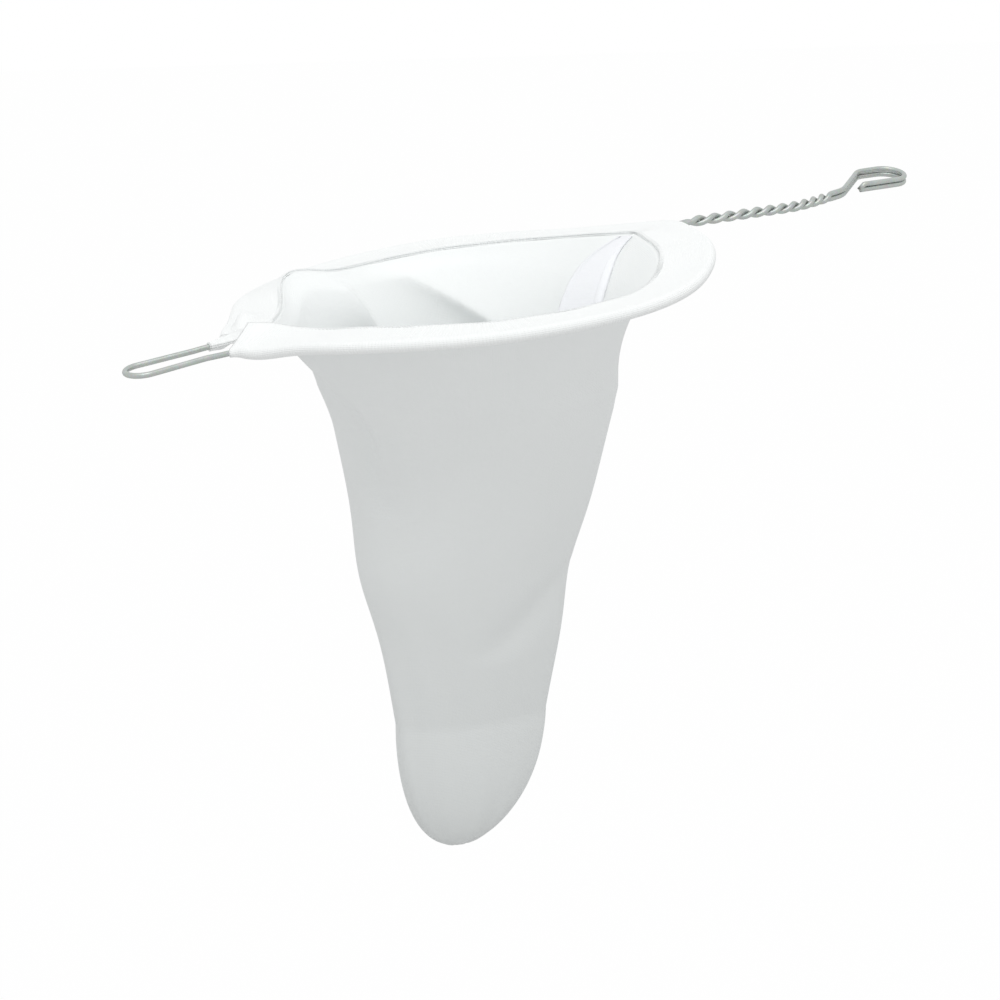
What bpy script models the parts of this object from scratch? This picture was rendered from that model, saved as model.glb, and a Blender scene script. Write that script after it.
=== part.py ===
"""Coffee sock filter: a hanging cloth bag, hemmed round a bent wire hoop with a rest loop and a twisted handle.

Metres, +Z up. The origin is the centre of the hoop. +X runs to the handle, +Y to the back.
The bag hangs plumb. The hoop is tilted about Y, with its handle up, as it hangs when it is held by the eye.
Shapes in the hoop's plane are written as (u, v): u to the handle, v to the back, and w stands square to both.
"""

import math

import bpy
import numpy as np

MM = 0.001

# Wire
WIRE_DIAMETER = 1.6 * MM
HOOP_RADIUS = 70.0 * MM
HOOP_SQUASH = 0.975
FLAT_PAST_HOOP = 0.3 * MM
FLAT_BEARING = math.radians(141.0)
FLAT_BEND = 40.0 * MM
HANG_TILT = math.radians(8.8)
WIRE_STEP = 4.0 * MM
ARC_STEP = math.radians(15.0)
ROUND_END = 0.9

# The hoop is bent by hand and isn't quite flat: each wave's bearing, half width and height
FRONT_WAVE = (math.radians(-139.0), math.radians(27.0), 1.3 * MM)
RIGHT_WAVE = (math.radians(-68.0), math.radians(24.0), -1.2 * MM)
LEFT_WAVE = (math.radians(150.0), math.radians(18.0), -0.8 * MM)
BACK_WAVE = (math.radians(31.0), math.radians(22.0), -2.5 * MM)
WAVE_FADE = 8.0 * MM

# Handle side of the hoop: the two halves of the wire run together, rise a little and twist
NOSE_PAST_HOOP = 6.75 * MM
HANDLE_LIFT = 2.8 * MM
HANDLE_LIFT_FROM = 35.0 * MM
HANDLE_DIP = math.radians(5.0)
NOSE_BEND = 4.0 * MM
TWIST_LENGTH = 55.6 * MM
TWIST_HALF_TURNS = 11
TWIST_GAP = 0.55 * MM
TWIST_TIGHTENING = 0.20
TWIST_RUN_IN = 1.5 * MM
TWIST_RUN_OUT = 3.0 * MM
POINTS_PER_TURN = 12

# The handle's axis bends to the back, first gently, then by the shank into the eye, where one strand lies on the other
GRIP_LENGTH = 40.0 * MM
GRIP_TURN = math.radians(16.0)
GRIP_BEND = 45.0 * MM
SHANK_LENGTH = 21.0 * MM
SHANK_BEND = 10.0 * MM
SLANT_TURN = math.radians(41.5)
SLANT_LENGTH = 20.0 * MM
EYE_BEND = 5.0 * MM
EYE_LENGTH = 12.6 * MM
EYE_WIDTH = 11.0 * MM
EYE_ROLL = math.radians(12.0)
UPPER_CUT_BACK = 18.0 * MM
LOWER_CUT_BACK = 19.7 * MM

# Rest loop, opposite the handle
NECK_PAST_HOOP = 5.25 * MM
LOOP_NECK_WIDTH = 8.0 * MM
LOOP_LENGTH = 30.0 * MM
LOOP_WIDTH = 10.4 * MM
LOOP_TO_FRONT = 1.2 * MM
LOOP_BEND = 4.0 * MM
LOOP_DIP = math.radians(1.0)

# Hem: a doubled strip of cloth that goes round the wire and lies flat inside the hoop
HEM_WIDTH = 14.0 * MM
HEM_CLOTH = 0.6 * MM
HEM_PLY_GAP = 0.3 * MM
WIRE_PLAY = 0.35 * MM
HEM_ARC_POINTS = 6
HEM_PLY_STEPS = 2
HEM_PITCH = 3.85 * MM
HEM_MITRE = 0.2 * MM
HEM_PAST_LOOP_NECK = 4.5 * MM

# The hem slopes up inwards a little all round, more at the back right, and stands up in a buckle at the back left
HEM_SLOPE = math.radians(4.0)
FRONT_SLOPE = (math.radians(-150.0), math.radians(25.0), math.radians(3.0))
RIGHT_SLOPE = (math.radians(-50.0), math.radians(25.0), math.radians(-4.0))
BACK_SLOPE = (math.radians(34.0), math.radians(22.0), math.radians(4.0))
BUCKLE = (math.radians(127.0), math.radians(16.0), math.radians(22.0))

# Filter bag
BAG_CLOTH = 0.8 * MM
SEWN_GAP = 0.35 * MM
BAG_LIP = 4.0 * MM
BAG_PAST_HEM = 1.0 * MM
WAIST_DEPTH = 28.0 * MM
TOE_DEPTH = 126.0 * MM
TOE_LENGTH = 38.8 * MM
WAIST_HALF_WIDTH = 42.4 * MM
WAIST_HALF_THICK = 42.4 * MM
TOE_HALF_WIDTH = 24.0 * MM
TOE_HALF_THICK = 11.1 * MM
TAPER_BOW = 0.12
MOUTH_FALL = 27.0 * MM
MOUTH_POWER = 1.7
BAG_ROWS = 11

# The bag's axis strays a little to the handle, sways back half way down, and the toe turns aside
BAG_TO_HANDLE = 1.2 * MM
BAG_SWAY = 2.3 * MM
SWAY_DEPTH = 81.0 * MM
SWAY_HEIGHT = 15.0 * MM
TOE_ASIDE = 4.4 * MM

# Main folds of the bag: the bearings and depths of each valley's two ends, its half width and its push
SIDE_FOLD_BEARINGS = (math.radians(165.0), math.radians(200.0))
SIDE_FOLD_DEPTHS = (8.0 * MM, 62.0 * MM)
SIDE_FOLD_WIDTH = math.radians(13.0)
SIDE_FOLD_PUSH = 4.5 * MM
REAR_FOLD_BEARINGS = (math.radians(120.0), math.radians(85.0))
REAR_FOLD_DEPTHS = (10.0 * MM, 60.0 * MM)
REAR_FOLD_WIDTH = math.radians(13.0)
REAR_FOLD_PUSH = 3.0 * MM
FRONT_FOLD_BEARINGS = (math.radians(320.0), math.radians(262.0))
FRONT_FOLD_DEPTHS = (78.0 * MM, 106.0 * MM)
FRONT_FOLD_WIDTH = math.radians(16.0)
FRONT_FOLD_PUSH = 2.0 * MM

# Seam tape inside the bag, on the handle's side
TAPE_WIDTH = 18.0 * MM
TAPE_TOP_WIDTH = 11.0 * MM
TAPE_SPREAD = 25.0 * MM
TAPE_CLOTH = 0.6 * MM
TAPE_GAP = 0.3 * MM
TAPE_TOP_BEARING = math.radians(3.0)
TAPE_BEARING = math.radians(9.0)
TAPE_BELOW_MOUTH = 2.0 * MM
TAPE_COLUMNS = 5

HANDLE_REACH = HOOP_RADIUS * HOOP_SQUASH + NOSE_PAST_HOOP
LOOP_NECK = HOOP_RADIUS * HOOP_SQUASH + NECK_PAST_HOOP
BAG_DEPTH = TOE_DEPTH + TOE_LENGTH
STRAND_OFFSET = (WIRE_DIAMETER + TWIST_GAP) / 2
SLEEVE_RADIUS = WIRE_DIAMETER / 2 + WIRE_PLAY + HEM_CLOTH / 2
PLY_HEIGHT = (HEM_CLOTH + HEM_PLY_GAP) / 2
BAG_BELOW_PLY = HEM_CLOTH / 2 + SEWN_GAP + BAG_CLOTH / 2
TAPE_INSIDE_BAG = BAG_CLOTH / 2 + TAPE_GAP + TAPE_CLOTH / 2


def clear_scene():
    """Removes every object that the file holds."""
    for thing in list(bpy.data.objects):
        bpy.data.objects.remove(thing, do_unlink=True)


def make_material(name, colour, roughness, metallic=0.0):
    """A Principled material of one colour."""
    material = bpy.data.materials.new(name)
    material.use_nodes = True
    shader = material.node_tree.nodes["Principled BSDF"]
    shader.inputs["Base Color"].default_value = (*colour, 1.0)
    shader.inputs["Roughness"].default_value = roughness
    shader.inputs["Metallic"].default_value = metallic
    return material


def add_object(name, data, material):
    """Puts mesh or curve data into the scene under its node's name."""
    thing = bpy.data.objects.new(name, data)
    thing.data.materials.append(material)
    bpy.context.scene.collection.objects.link(thing)
    return thing


def ease(x):
    """Runs from 0 to 1 with level ends as x runs from 0 to 1."""
    x = np.clip(x, 0.0, 1.0)
    return x * x * (3.0 - 2.0 * x)


def bent_line(corners):
    """A wire's centre line through corners (x, y, bend radius): straight runs joined by tangent arcs."""
    points = [np.array(corners[0][:2])]
    for before, here, after in zip(corners, corners[1:], corners[2:]):
        corner = np.array(here[:2])
        back = np.array(before[:2]) - corner
        ahead = np.array(after[:2]) - corner
        back /= np.linalg.norm(back)
        ahead /= np.linalg.norm(ahead)
        turn = math.pi - math.acos(np.clip(back @ ahead, -1.0, 1.0))
        half = (math.pi - turn) / 2
        middle = corner + (back + ahead) / np.linalg.norm(back + ahead) * here[2] / math.sin(half)
        start = corner + back * here[2] / math.tan(half) - middle
        side = math.copysign(1.0, start[0] * -back[1] + start[1] * back[0])
        steps = math.ceil(max(turn / ARC_STEP, turn * here[2] / WIRE_STEP, 1.0))
        for angle in np.linspace(0.0, turn * side, steps + 1):
            c, s = math.cos(angle), math.sin(angle)
            points.append(middle + np.array([c * start[0] - s * start[1], s * start[0] + c * start[1]]))
    points.append(np.array(corners[-1][:2]))
    return np.array(points)


def spaced(points, step):
    """The same line with points added along its long straight runs, at most a step apart."""
    result = [points[0]]
    for start, end in zip(points, points[1:]):
        count = max(1, math.ceil(np.linalg.norm(end - start) / step))
        result += [start + (end - start) * k / count for k in range(1, count + 1)]
    return np.array(result)


def tangent_corner(first, second):
    """Where the two lines from these points that touch the hoop's circle on its far side meet."""
    reach = [math.hypot(*point) for point in (first, second)]
    bearing = [math.atan2(point[1], point[0]) for point in (first, second)]
    side = math.copysign(1.0, first[1])
    touch = [
        bearing[0] - side * math.acos(HOOP_RADIUS / reach[0]),
        bearing[1] + side * math.acos(HOOP_RADIUS / reach[1]),
    ]
    if side < 0.0:
        touch = [angle % math.tau for angle in touch]
    middle = (touch[0] + touch[1]) / 2
    far = HOOP_RADIUS / math.cos(abs(touch[0] - touch[1]) / 2)
    return far * math.cos(middle), far * math.sin(middle)


def hoop_side(side):
    """One half of the hoop in its plane, from the rest loop's tip to the start of the twist. side: -1 front, 1 back."""
    neck = (-LOOP_NECK / HOOP_SQUASH, side * LOOP_NECK_WIDTH / 2)
    nose = ((HANDLE_REACH - NOSE_BEND) / HOOP_SQUASH, side * STRAND_OFFSET)
    tip = (-LOOP_NECK - LOOP_LENGTH) / HOOP_SQUASH
    corners = [
        (tip, -LOOP_TO_FRONT, 0.0),
        (tip, side * LOOP_WIDTH / 2 - LOOP_TO_FRONT, LOOP_WIDTH / 2 * ROUND_END),
        (*neck, LOOP_BEND),
    ]
    last = neck
    if side > 0:
        reach = HOOP_RADIUS + FLAT_PAST_HOOP
        last = (reach * math.cos(FLAT_BEARING), reach * math.sin(FLAT_BEARING))
        corners.append((*last, FLAT_BEND))
    corners += [
        (*tangent_corner(last, nose), HOOP_RADIUS),
        (*nose, NOSE_BEND),
        (HANDLE_REACH / HOOP_SQUASH, nose[1], 0.0),
    ]
    return spaced(bent_line(corners) * (HOOP_SQUASH, 1.0), WIRE_STEP)


def wave(bearing, middle, half_width, height):
    """A bell of this height round a bearing."""
    off = (bearing - middle + math.pi) % math.tau - math.pi
    return height * np.exp(-(off / half_width) ** 2)


def lift_at(u, v):
    """How far the wire stands off the hoop's plane: its waves, then up to the handle and down along the rest loop."""
    bearing = np.arctan2(v, u)
    waves = wave(bearing, *FRONT_WAVE) + wave(bearing, *RIGHT_WAVE)
    waves += wave(bearing, *BACK_WAVE) + wave(bearing, *LEFT_WAVE)
    waves = waves * ease((HANDLE_REACH - u) / WAVE_FADE)
    at_handle = HANDLE_LIFT * ease((u - HANDLE_LIFT_FROM) / (HANDLE_REACH - HANDLE_LIFT_FROM))
    at_loop = np.maximum(-u - LOOP_NECK, 0.0) * math.tan(LOOP_DIP)
    return waves + at_handle - at_loop


def hang(u, v, w):
    """Places a point of the hoop's plane in the world by the hoop's tilt about Y."""
    c, s = math.cos(HANG_TILT), math.sin(HANG_TILT)
    return np.stack([u * c - w * s, v + 0.0 * u, u * s + w * c], axis=-1)


def twist_angle(along):
    """The angle that a strand has turned at a distance along the twist: slow at both ends, tighter to the eye."""
    s = np.linspace(0.0, TWIST_LENGTH, 400)
    rate = ease(s / TWIST_RUN_IN) * ease((TWIST_LENGTH - s) / TWIST_RUN_OUT)
    rate = rate * (1.0 + TWIST_TIGHTENING * (2.0 * s / TWIST_LENGTH - 1.0))
    turned = np.concatenate([[0.0], np.cumsum((rate[1:] + rate[:-1]) / 2)])
    whole = math.pi * (TWIST_HALF_TURNS + 0.5) - EYE_ROLL
    return np.interp(along, s, turned / turned[-1] * whole)


def handle_axis(cut_back):
    """The line midway between the strands, in the handle's plane, from the start of the twist to a cut end."""
    bend = (GRIP_LENGTH, 0.0)
    shank = (bend[0] + SHANK_LENGTH * math.cos(GRIP_TURN), SHANK_LENGTH * math.sin(GRIP_TURN))
    back = shank[1] + SLANT_LENGTH * math.sin(SLANT_TURN)
    near = shank[0] + SLANT_LENGTH * math.cos(SLANT_TURN)
    far = near + EYE_LENGTH
    round_end = EYE_WIDTH / 2 * ROUND_END
    return bent_line([
        (0.0, 0.0, 0.0),
        (*bend, GRIP_BEND),
        (*shank, SHANK_BEND),
        (near, back, EYE_BEND),
        (far, back, round_end),
        (far, back - EYE_WIDTH, round_end),
        (far - cut_back, back - EYE_WIDTH, 0.0),
    ])


def handle_strand(side):
    """One strand of the handle as (along, to the back, up) in the handle's plane, from the twist's start to its end."""
    start = -EYE_ROLL if side > 0 else math.pi - EYE_ROLL
    end = start - twist_angle(TWIST_LENGTH)
    axis = handle_axis(UPPER_CUT_BACK if math.sin(end) > 0.0 else LOWER_CUT_BACK)
    axis = spaced(axis, WIRE_STEP)
    travelled = np.concatenate([[0.0], np.cumsum(np.linalg.norm(np.diff(axis, axis=0), axis=1))])
    count = math.ceil((TWIST_HALF_TURNS + 0.5) / 2 * POINTS_PER_TURN)
    twist = np.linspace(0.0, TWIST_LENGTH, count + 1)[1:]
    along = np.concatenate([twist, travelled[travelled > TWIST_LENGTH + WIRE_STEP / 4]])
    place = np.stack([np.interp(along, travelled, axis[:, k]) for k in (0, 1)], axis=-1)
    heading = np.gradient(place, along, axis=0)
    heading /= np.linalg.norm(heading, axis=1)[:, None]
    angle = start - twist_angle(along)
    aside = STRAND_OFFSET * np.cos(angle)
    return np.stack([
        place[:, 0] - heading[:, 1] * aside,
        place[:, 1] + heading[:, 0] * aside,
        STRAND_OFFSET * np.sin(angle),
    ], axis=-1)


def wire_strand(side):
    """One half of the whole wire in the world, from the rest loop's tip to its cut end."""
    flat = hoop_side(side)
    hoop = hang(flat[:, 0], flat[:, 1], lift_at(flat[:, 0], flat[:, 1]))
    strand = handle_strand(side)
    c, s = math.cos(EYE_ROLL), math.sin(EYE_ROLL)
    back = strand[:, 1] * c - strand[:, 2] * s
    up = strand[:, 1] * s + strand[:, 2] * c
    c, s = math.cos(HANDLE_DIP), math.sin(HANDLE_DIP)
    u = HANDLE_REACH + strand[:, 0] * c + up * s
    w = HANDLE_LIFT - strand[:, 0] * s + up * c
    return np.concatenate([hoop, hang(u, back, w)])


def wire_line():
    """The whole wire from one cut end round the hoop to the other."""
    return np.concatenate([wire_strand(-1)[::-1], wire_strand(1)[1:]])


def least_gap(line, diameter):
    """The least free distance between stretches of a round wire that lie apart along its length."""
    fine = spaced(line, diameter / 3)
    travelled = np.concatenate([[0.0], np.cumsum(np.linalg.norm(np.diff(fine, axis=0), axis=1))])
    apart = np.abs(travelled[:, None] - travelled[None, :]) > 3.0 * diameter
    distance = np.linalg.norm(fine[:, None] - fine[None, :], axis=2)
    return distance[apart].min() - diameter


def add_wire(material):
    """The galvanised wire as one swept tube."""
    line = wire_line()
    curve = bpy.data.curves.new("wire_frame", "CURVE")
    curve.dimensions = "3D"
    curve.bevel_depth = WIRE_DIAMETER / 2
    curve.bevel_resolution = 2
    curve.use_fill_caps = True
    spline = curve.splines.new("POLY")
    spline.points.add(len(line) - 1)
    for point, place in zip(spline.points, line):
        point.co = (*place, 1.0)
    print("least gap of the wire to itself: %.2f mm" % (least_gap(line, WIRE_DIAMETER) / MM))
    return add_object("wire_frame", curve, material)


def hem_slope(u, v):
    """The angle that the hem slopes up at, from the wire inwards."""
    bearing = np.arctan2(v, u)
    slopes = wave(bearing, *FRONT_SLOPE) + wave(bearing, *RIGHT_SLOPE) + wave(bearing, *BACK_SLOPE)
    return HEM_SLOPE + slopes + wave(bearing, *BUCKLE)


def hem_line(side):
    """The stretch of the wire that the hem covers, with its inward normals, at the hem's own pitch."""
    line = spaced(hoop_side(side), WIRE_STEP / 4)
    tangent = np.gradient(line, axis=0)
    tangent /= np.linalg.norm(tangent, axis=1)[:, None]
    inward = -side * np.stack([-tangent[:, 1], tangent[:, 0]], axis=-1)
    sleeve = SLEEVE_RADIUS + HEM_CLOTH / 2 + HEM_MITRE
    covered = (line[:, 0] > -LOOP_NECK - HEM_PAST_LOOP_NECK) & (side * line[:, 1] > sleeve)
    line, inward = line[covered], inward[covered]
    travelled = np.concatenate([[0.0], np.cumsum(np.linalg.norm(np.diff(line, axis=0), axis=1))])
    stops = np.linspace(0.0, travelled[-1], math.ceil(travelled[-1] / HEM_PITCH) + 1)
    line = np.stack([np.interp(stops, travelled, line[:, k]) for k in (0, 1)], axis=-1)
    inward = np.stack([np.interp(stops, travelled, inward[:, k]) for k in (0, 1)], axis=-1)
    return line, inward / np.linalg.norm(inward, axis=1)[:, None]


def hem_place(line, inward, side, reach, rise, widest=HEM_WIDTH):
    """Places points at a reach along the hem and a rise off it. Where the two halves meet, the reach is drawn in."""
    slope = hem_slope(line[:, 0], line[:, 1])
    to_mitre = np.maximum(side * -inward[:, 1], 1e-6)
    limit = (side * line[:, 1] - HEM_MITRE) / to_mitre
    share = np.minimum(limit / (widest * np.cos(slope)), 1.0) if reach > 0.0 else 1.0
    level = np.minimum(reach * share * np.cos(slope) - rise * np.sin(slope), limit)
    u = line[:, 0] + inward[:, 0] * level
    v = line[:, 1] + inward[:, 1] * level
    return u, v, lift_at(line[:, 0], line[:, 1]) + reach * share * np.sin(slope) + rise * np.cos(slope)


def ply_rise(reach):
    """How far each ply's middle lies off the hem's middle: it closes evenly from the sleeve round the wire."""
    return PLY_HEIGHT + (SLEEVE_RADIUS - PLY_HEIGHT) * max(1.0 - reach / HEM_WIDTH, 0.0)


def hem_profile():
    """The doubled strip's section as (reach, rise): along the upper ply, round the wire, back along the lower ply."""
    slope = math.atan2(SLEEVE_RADIUS - PLY_HEIGHT, HEM_WIDTH)
    angles = np.linspace(math.pi / 2 - slope, math.tau - math.pi / 2 + slope, HEM_ARC_POINTS)
    arc = [(SLEEVE_RADIUS * math.cos(angle), SLEEVE_RADIUS * math.sin(angle)) for angle in angles]
    reaches = [HEM_WIDTH * (1.0 - k / HEM_PLY_STEPS) for k in range(HEM_PLY_STEPS)]
    upper = [(reach, ply_rise(reach)) for reach in reaches]
    lower = [(reach, -ply_rise(reach)) for reach in reversed(reaches)]
    return upper + arc + lower


def add_grid(name, rows, material, thickness, bottom=None):
    """A sheet of cloth from rows of points, given its thickness to both sides. A bottom point closes rings."""
    count = len(rows[0])
    vertices = [tuple(point) for row in rows for point in row]
    faces = []
    for r in range(len(rows) - 1):
        for k in range(count - 1 if bottom is None else count):
            nxt = (k + 1) % count
            faces.append((r * count + k, r * count + nxt, (r + 1) * count + nxt, (r + 1) * count + k))
    if bottom is not None:
        vertices.append(tuple(bottom))
        last = (len(rows) - 1) * count
        faces += [(last + k, last + (k + 1) % count, len(vertices) - 1) for k in range(count)]
    mesh = bpy.data.meshes.new(name)
    mesh.from_pydata(vertices, [], faces)
    mesh.update()
    thing = add_object(name, mesh, material)
    cloth = thing.modifiers.new("cloth", "SOLIDIFY")
    cloth.thickness = thickness
    cloth.offset = 0.0
    cloth.use_even_offset = True
    return thing


def add_hem(name, side, material):
    """One half of the hem, from the rest loop to the handle."""
    line, inward = hem_line(side)
    rows = []
    for reach, rise in hem_profile():
        rows.append(hang(*hem_place(line, inward, side, reach, rise)))
    if side > 0:
        rows.reverse()
    return add_grid(name, rows, material, HEM_CLOTH)


def rim_stations():
    """Every second station of the hem, round the mouth: the bag is sewn to these."""
    found = []
    for side in (-1, 1):
        line, inward = hem_line(side)
        v = hem_place(line, inward, side, HEM_WIDTH, 0.0)[1]
        keep = (side * v > 2.0 * HEM_MITRE) & (np.arange(len(line)) % 2 == 0)
        found.append(np.column_stack([line, inward, np.full(len(line), side)])[keep][::-side])
    stations = np.concatenate(found)
    return stations[:, 0:2], stations[:, 2:4], stations[:, 4]


def under_hem(reach):
    """The ring of the bag's cloth at a reach under the hem."""
    line, inward, side = rim_stations()
    below = ply_rise(reach) + BAG_BELOW_PLY
    return hang(*hem_place(line, inward, side, reach, -below, HEM_WIDTH + BAG_PAST_HEM))


def bag_section(depth):
    """Half the bag's width and thickness at a depth: an even taper to the toe, then a rounded end."""
    share = np.clip((depth - WAIST_DEPTH) / (TOE_DEPTH - WAIST_DEPTH), 0.0, 1.0)
    share = share * (1.0 + TAPER_BOW * (1.0 - share))
    rounding = np.sqrt(np.clip(1.0 - (np.maximum(depth - TOE_DEPTH, 0.0) / (BAG_DEPTH - TOE_DEPTH)) ** 2, 0.0, 1.0))
    width = (WAIST_HALF_WIDTH + (TOE_HALF_WIDTH - WAIST_HALF_WIDTH) * share) * rounding
    thick = (WAIST_HALF_THICK + (TOE_HALF_THICK - WAIST_HALF_THICK) * share) * rounding
    return width, thick


def bag_axis(depth):
    """Where the bag's axis is along X at a depth."""
    sway = BAG_SWAY * np.exp(-((depth - SWAY_DEPTH) / SWAY_HEIGHT) ** 2)
    toe = TOE_ASIDE * (np.maximum(depth - TOE_DEPTH, 0.0) / (BAG_DEPTH - TOE_DEPTH)) ** 2
    return BAG_TO_HANDLE * ease(depth / WAIST_DEPTH) - sway - toe


def fold(bearing, depth, bearings, depths, half_width, push):
    """The inward push of one fold: deepest along its valley, half way between the valley's ends."""
    share = np.clip((depth - depths[0]) / (depths[1] - depths[0]), 0.0, 1.0)
    valley = bearings[0] + (bearings[1] - bearings[0]) * share
    off = (bearing - valley + math.pi) % math.tau - math.pi
    return push * np.sin(math.pi * share) * np.exp(-(off / half_width) ** 2)


def bag_row(mouth, share):
    """The ring of the bag's cloth at a share of the way down from its mouth to the bottom."""
    bearing = np.arctan2(mouth[:, 1], mouth[:, 0])
    fall = share * (mouth[:, 2] + BAG_DEPTH)
    z = mouth[:, 2] - fall
    width, thick = bag_section(-z)
    push = fold(bearing, -z, SIDE_FOLD_BEARINGS, SIDE_FOLD_DEPTHS, SIDE_FOLD_WIDTH, SIDE_FOLD_PUSH)
    push += fold(bearing, -z, REAR_FOLD_BEARINGS, REAR_FOLD_DEPTHS, REAR_FOLD_WIDTH, REAR_FOLD_PUSH)
    push += fold(bearing, -z, FRONT_FOLD_BEARINGS, FRONT_FOLD_DEPTHS, FRONT_FOLD_WIDTH, FRONT_FOLD_PUSH)
    hold = np.clip(1.0 - fall / MOUTH_FALL, 0.0, 1.0) ** MOUTH_POWER
    x = mouth[:, 0] * hold + (bag_axis(-z) + (width - push) * np.cos(bearing)) * (1.0 - hold)
    y = mouth[:, 1] * hold + (thick - push) * np.sin(bearing) * (1.0 - hold)
    return np.stack([x, y, z], axis=-1)


def bag_rings():
    """The bag's rings of points: the lip under the hem, the mouth, then the body down to just above the bottom."""
    mouth = under_hem(HEM_WIDTH + BAG_PAST_HEM)
    steps = np.linspace(0.0, 1.0, BAG_ROWS)[:-1]
    shares = 1.0 - (1.0 - steps + 0.1 * np.sin(steps * math.tau)) ** 1.25
    return np.array([under_hem(HEM_WIDTH - BAG_LIP)] + [bag_row(mouth, share) for share in shares])


def add_bag(material):
    """The bag: a lip under the hem, a tapering body with its folds, and a rounded closed bottom."""
    bottom = (bag_axis(BAG_DEPTH), 0.0, -BAG_DEPTH)
    return add_grid("filter_bag", bag_rings(), material, BAG_CLOTH, bottom)


def add_seam_tape(material):
    """The seam tape: it follows the bag's own rings from the mouth to the toe, a sewn gap inside the cloth."""
    rings = bag_rings()
    bearings = np.arctan2(rings[1][:, 1], rings[1][:, 0])
    stations = np.arange(len(bearings))
    reach = int(np.sum(rings[:, :, 2].mean(axis=1) > -TOE_DEPTH))
    rows = []
    for r in range(1, reach):
        ring = rings[r]
        radius = np.hypot(ring[:, 0], ring[:, 1])
        middle = np.interp(TAPE_BEARING, bearings, radius)
        spread = ease(np.interp(TAPE_BEARING, bearings, rings[1][:, 2] - ring[:, 2]) / TAPE_SPREAD)
        width = TAPE_TOP_WIDTH + (TAPE_WIDTH - TAPE_TOP_WIDTH) * spread
        wanted = TAPE_TOP_BEARING + (TAPE_BEARING - TAPE_TOP_BEARING) * spread
        wanted = wanted + np.linspace(-0.5, 0.5, TAPE_COLUMNS) * width / middle
        index = np.interp(wanted, bearings, stations)
        down = rings[r + 1] - rings[r - 1] if r > 1 else rings[2] - rings[1]
        round_about = np.roll(ring, -1, axis=0) - np.roll(ring, 1, axis=0)
        inside = np.cross(round_about, down)
        inside /= np.linalg.norm(inside, axis=1)[:, None]
        inside *= -np.sign(np.sum(inside * np.stack([ring[:, 0], ring[:, 1], 0.0 * ring[:, 0]], axis=-1), axis=1))[:, None]
        place = ring + inside * TAPE_INSIDE_BAG
        if r == 1:
            step = rings[2] - rings[1]
            place = place + step / np.linalg.norm(step, axis=1)[:, None] * TAPE_BELOW_MOUTH
        rows.append(np.stack([np.interp(index, stations, place[:, k]) for k in range(3)], axis=-1))
    return add_grid("seam_tape", rows, material, TAPE_CLOTH)


def main():
    """Builds every piece of the filter."""
    clear_scene()
    zinc = make_material("galvanised_wire", (0.50, 0.53, 0.51), 0.38, 0.9)
    hem_cloth = make_material("hem_cloth", (0.93, 0.94, 0.94), 0.9)
    bag_cloth = make_material("bag_cloth", (0.80, 0.82, 0.82), 0.95)
    add_wire(zinc)
    add_hem("hem_front", -1, hem_cloth)
    add_hem("hem_back", 1, hem_cloth)
    add_bag(bag_cloth)
    add_seam_tape(hem_cloth)


main()
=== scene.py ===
"""A cloth coffee filter: a hemmed bag that hangs from a wire hoop with a twisted handle and a rest loop.

Metres, +Z up. The origin is the centre of the hoop, +X runs to the handle and +Y to the back, as in the
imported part. Shapes in the hoop's plane are written as (u, v): u to the handle, v to the back, and w stands
square to both.
"""

import math

import bpy
import numpy as np
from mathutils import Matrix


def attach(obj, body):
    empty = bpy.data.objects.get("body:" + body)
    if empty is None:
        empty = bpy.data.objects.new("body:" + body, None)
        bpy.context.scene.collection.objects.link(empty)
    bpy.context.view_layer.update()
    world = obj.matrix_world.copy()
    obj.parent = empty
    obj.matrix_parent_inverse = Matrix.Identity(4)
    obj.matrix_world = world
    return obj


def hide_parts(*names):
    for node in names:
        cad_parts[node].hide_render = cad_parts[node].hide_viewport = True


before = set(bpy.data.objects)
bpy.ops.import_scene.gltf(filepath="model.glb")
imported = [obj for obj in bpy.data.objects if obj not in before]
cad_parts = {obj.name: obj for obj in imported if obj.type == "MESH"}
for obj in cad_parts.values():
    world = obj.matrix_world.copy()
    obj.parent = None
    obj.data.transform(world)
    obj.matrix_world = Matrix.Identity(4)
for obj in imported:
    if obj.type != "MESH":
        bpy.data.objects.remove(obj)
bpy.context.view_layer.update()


# The galvanised wire
# One length of zinc-coated steel wire, bent by hand. It forms the hoop and the narrow rest loop, and its two
# halves are twisted together into the handle, one lying on the other where they are bent round into the eye.
MM = 0.001
WIRE_RADIUS = 0.8 * MM
WIRE_SIDES = 16
CUT_END_LENGTH = 0.5 * MM
CUT_END_TAPER = 0.22
BEND_POINTS = 60
STRAND_OFFSET = 0.83 * MM
STRAND_WANDER = 0.05 * MM
STRAND_WANDER_LENGTH = 7.0 * MM
STRAND_WANDER_EASE = 9.0 * MM
HOOP_RADIUS = 70.0 * MM
HOOP_SQUASH = 0.975
FLAT_REACH = 70.3 * MM
FLAT_BEARING = math.radians(136.5)
FLAT_BEND = 32.0 * MM
HANG_TILT = math.radians(8.8)
HANDLE_REACH = 75.0 * MM
HANDLE_LIFT = 2.8 * MM
HANDLE_LIFT_FROM = 35.0 * MM
HANDLE_EASE = 8.0 * MM
HANDLE_DIP = math.radians(5.0)
NOSE_BEND = 4.0 * MM
TWIST_LENGTH = 55.6 * MM
TWIST_HALF_TURNS = 11
TWIST_TIGHTENING = 0.20
TWIST_EASE_IN = 1.5 * MM
TWIST_EASE_OUT = 3.0 * MM
GRIP_LENGTH = 40.0 * MM
GRIP_BEND = 45.0 * MM
SHANK_LENGTH = 21.0 * MM
SHANK_TURN = math.radians(16.0)
SHANK_BEND = 10.0 * MM
EYE_NECK_LENGTH = 20.0 * MM
EYE_NECK_TURN = math.radians(41.5)
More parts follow.
